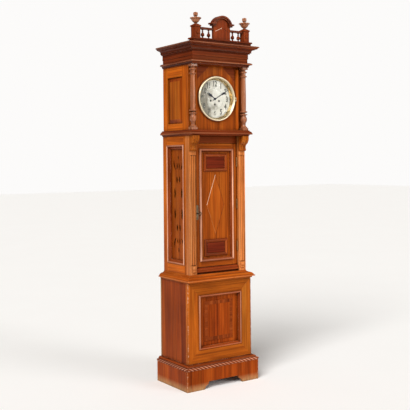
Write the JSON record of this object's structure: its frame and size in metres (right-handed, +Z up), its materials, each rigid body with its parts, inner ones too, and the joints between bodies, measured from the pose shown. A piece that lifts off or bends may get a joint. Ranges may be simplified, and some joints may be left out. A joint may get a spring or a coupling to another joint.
{
  "type": "longcase clock",
  "caption": "Tall free-standing wooden clock case with a glazed dial, panelled door, fretted sides, gallery top, pendulum and three weights.",
  "frame": {"origin": "centre of the bounding box's footprint, on the floor", "axes": "+Z up the case, -Y out of the dial towards the viewer, +X to the viewer's right"},
  "size_m": [0.545, 0.394, 2.2881],
  "materials": {
    "case_wood": "satin wax polish",
    "side_wood": "satin wax polish",
    "panel_wood": "satin wax polish",
    "moulding_wood": "polished",
    "dark_wood": "polished",
    "plain_wood": "unpolished",
    "brass": "polished",
    "silvered": "silvered, brushed",
    "blued_steel": "blued steel",
    "steel": "brushed",
    "glass": "clear",
    "gut": "stranded"
  },
  "bodies": {
    "case": {"plinth_boards": "case_wood", "plinth_moulding": "moulding_wood", "base_front_frame": "case_wood", "base_sides": "panel_wood", "base_panel_moulding": "moulding_wood", "base_panel": "panel_wood", "base_cap_moulding": "moulding_wood", "case_floors": "plain_wood", "back_boards": "plain_wood", "trunk_side_frames": "side_wood", "trunk_side_mouldings": "moulding_wood", "fret_panels": "panel_wood", "pilasters": "case_wood", "corbels": "case_wood", "trunk_front_rails": "case_wood", "waist_moulding": "moulding_wood", "hood_side_frames": "side_wood", "hood_side_panels": "panel_wood", "hood_front": "case_wood", "hood_columns": "dark_wood", "architrave_moulding": "moulding_wood", "frieze_boards": "panel_wood", "cornice": "moulding_wood", "gallery_base": "case_wood", "gallery_posts": "case_wood", "gallery_balustrade": "dark_wood", "finials": "dark_wood", "pediment_board": "panel_wood", "pediment_arch": "dark_wood", "dial": "silvered", "dial_surround": "brass", "movement_plates": "brass", "gong_rods": "steel", "cable_leads": "gut", "trunk_hinges_fixed": "brass", "cable_left": "gut", "cable_centre": "gut", "cable_right": "gut"},
    "trunk_door": {"door_frame": "case_wood", "door_moulding": "moulding_wood", "door_panel": "panel_wood", "door_plaques": "dark_wood", "door_lock": "brass", "trunk_hinges_moving": "brass"},
    "door_bolt": {"lock_bolt": "steel"},
    "key": {"door_key": "steel"},
    "bezel": {"bezel_ring": "brass", "bezel_glass": "glass"},
    "minute_hand_set": {"minute_hand": "blued_steel"},
    "hour_hand_set": {"hour_hand": "blued_steel"},
    "motion_wheel": {"minute_wheel": "brass"},
    "pallet_anchor": {"anchor": "steel"},
    "pendulum": {"pendulum_rod": "case_wood", "pendulum_bob": "brass"},
    "barrel_set_left": {"barrel_left": "brass"},
    "weight_set_left": {"weight_left": "brass"},
    "barrel_set_centre": {"barrel_centre": "brass"},
    "weight_set_centre": {"weight_centre": "brass"},
    "barrel_set_right": {"barrel_right": "brass"},
    "weight_set_right": {"weight_right": "brass"}
  },
  "joints": [
    {"name": "door_hinge", "type": "hinge", "parent": "case", "child": "trunk_door", "pos_m": [0.1574, -0.0885, 1.115], "axis": [0, 0, 1], "range_deg": [0, 90]},
    {"name": "key_turn", "type": "hinge", "parent": "trunk_door", "child": "key", "pos_m": [-0.145, -0.084, 1.066], "axis": [0, 1, 0], "range_deg": [0, 90]},
    {"name": "bolt_slide", "type": "slide", "parent": "trunk_door", "child": "door_bolt", "axis": [1, 0, 0], "range_m": [0, 0.01]},
    {"name": "bezel_hinge", "type": "hinge", "parent": "case", "child": "bezel", "pos_m": [0.1409, -0.1098, 1.774], "axis": [0, 0, 1], "range_deg": [0, 90]},
    {"name": "minute_turn", "type": "hinge", "parent": "case", "child": "minute_hand_set", "pos_m": [0, -0.074, 1.774], "axis": [0, 1, 0], "continuous": true},
    {"name": "hour_turn", "type": "hinge", "parent": "case", "child": "hour_hand_set", "pos_m": [0, -0.071, 1.774], "axis": [0, 1, 0], "continuous": true},
    {"name": "motion_wheel_turn", "type": "hinge", "parent": "case", "child": "motion_wheel", "pos_m": [-0.02079, -0.055, 1.786], "axis": [0, 1, 0], "continuous": true},
    {"name": "pendulum_swing", "type": "hinge", "parent": "case", "child": "pendulum", "pos_m": [0, 0.087, 1.8], "axis": [0, 1, 0], "range_deg": [-3.5, 3.5]},
    {"name": "anchor_rock", "type": "hinge", "parent": "case", "child": "pallet_anchor", "pos_m": [0, -0.003, 1.8], "axis": [0, 1, 0], "range_deg": [-3.5, 3.5]},
    {"name": "weight_run_left", "type": "slide", "parent": "case", "child": "weight_set_left", "axis": [0, 0, 1], "range_m": [0, 0.55], "deforming": ["cable_left"]},
    {"name": "barrel_turn_left", "type": "hinge", "parent": "case", "child": "barrel_set_left", "pos_m": [-0.032, -0.014, 1.762], "axis": [0, 1, 0], "range_deg": [0, 4206.7]},
    {"name": "weight_run_centre", "type": "slide", "parent": "case", "child": "weight_set_centre", "axis": [0, 0, 1], "range_m": [0, 0.55], "deforming": ["cable_centre"]},
    {"name": "barrel_turn_centre", "type": "hinge", "parent": "case", "child": "barrel_set_centre", "pos_m": [0, -0.014, 1.74], "axis": [0, 1, 0], "range_deg": [0, 4206.7]},
    {"name": "weight_run_right", "type": "slide", "parent": "case", "child": "weight_set_right", "axis": [0, 0, 1], "range_m": [0, 0.55], "deforming": ["cable_right"]},
    {"name": "barrel_turn_right", "type": "hinge", "parent": "case", "child": "barrel_set_right", "pos_m": [0.032, -0.014, 1.762], "axis": [0, 1, 0], "range_deg": [-4206.7, 0]}
  ],
  "couplings": [
    {"joint": "key_turn", "follows": "bolt_slide", "rad_per_m": 157.08},
    {"joint": "motion_wheel_turn", "follows": "minute_turn", "ratio": -0.33333},
    {"joint": "hour_turn", "follows": "minute_turn", "ratio": 0.083333},
    {"joint": "anchor_rock", "follows": "pendulum_swing", "ratio": 1},
    {"joint": "barrel_turn_left", "follows": "weight_run_left", "rad_per_m": 133.33},
    {"joint": "barrel_turn_centre", "follows": "weight_run_centre", "rad_per_m": 133.33},
    {"joint": "barrel_turn_right", "follows": "weight_run_right", "rad_per_m": -133.33}
  ]
}
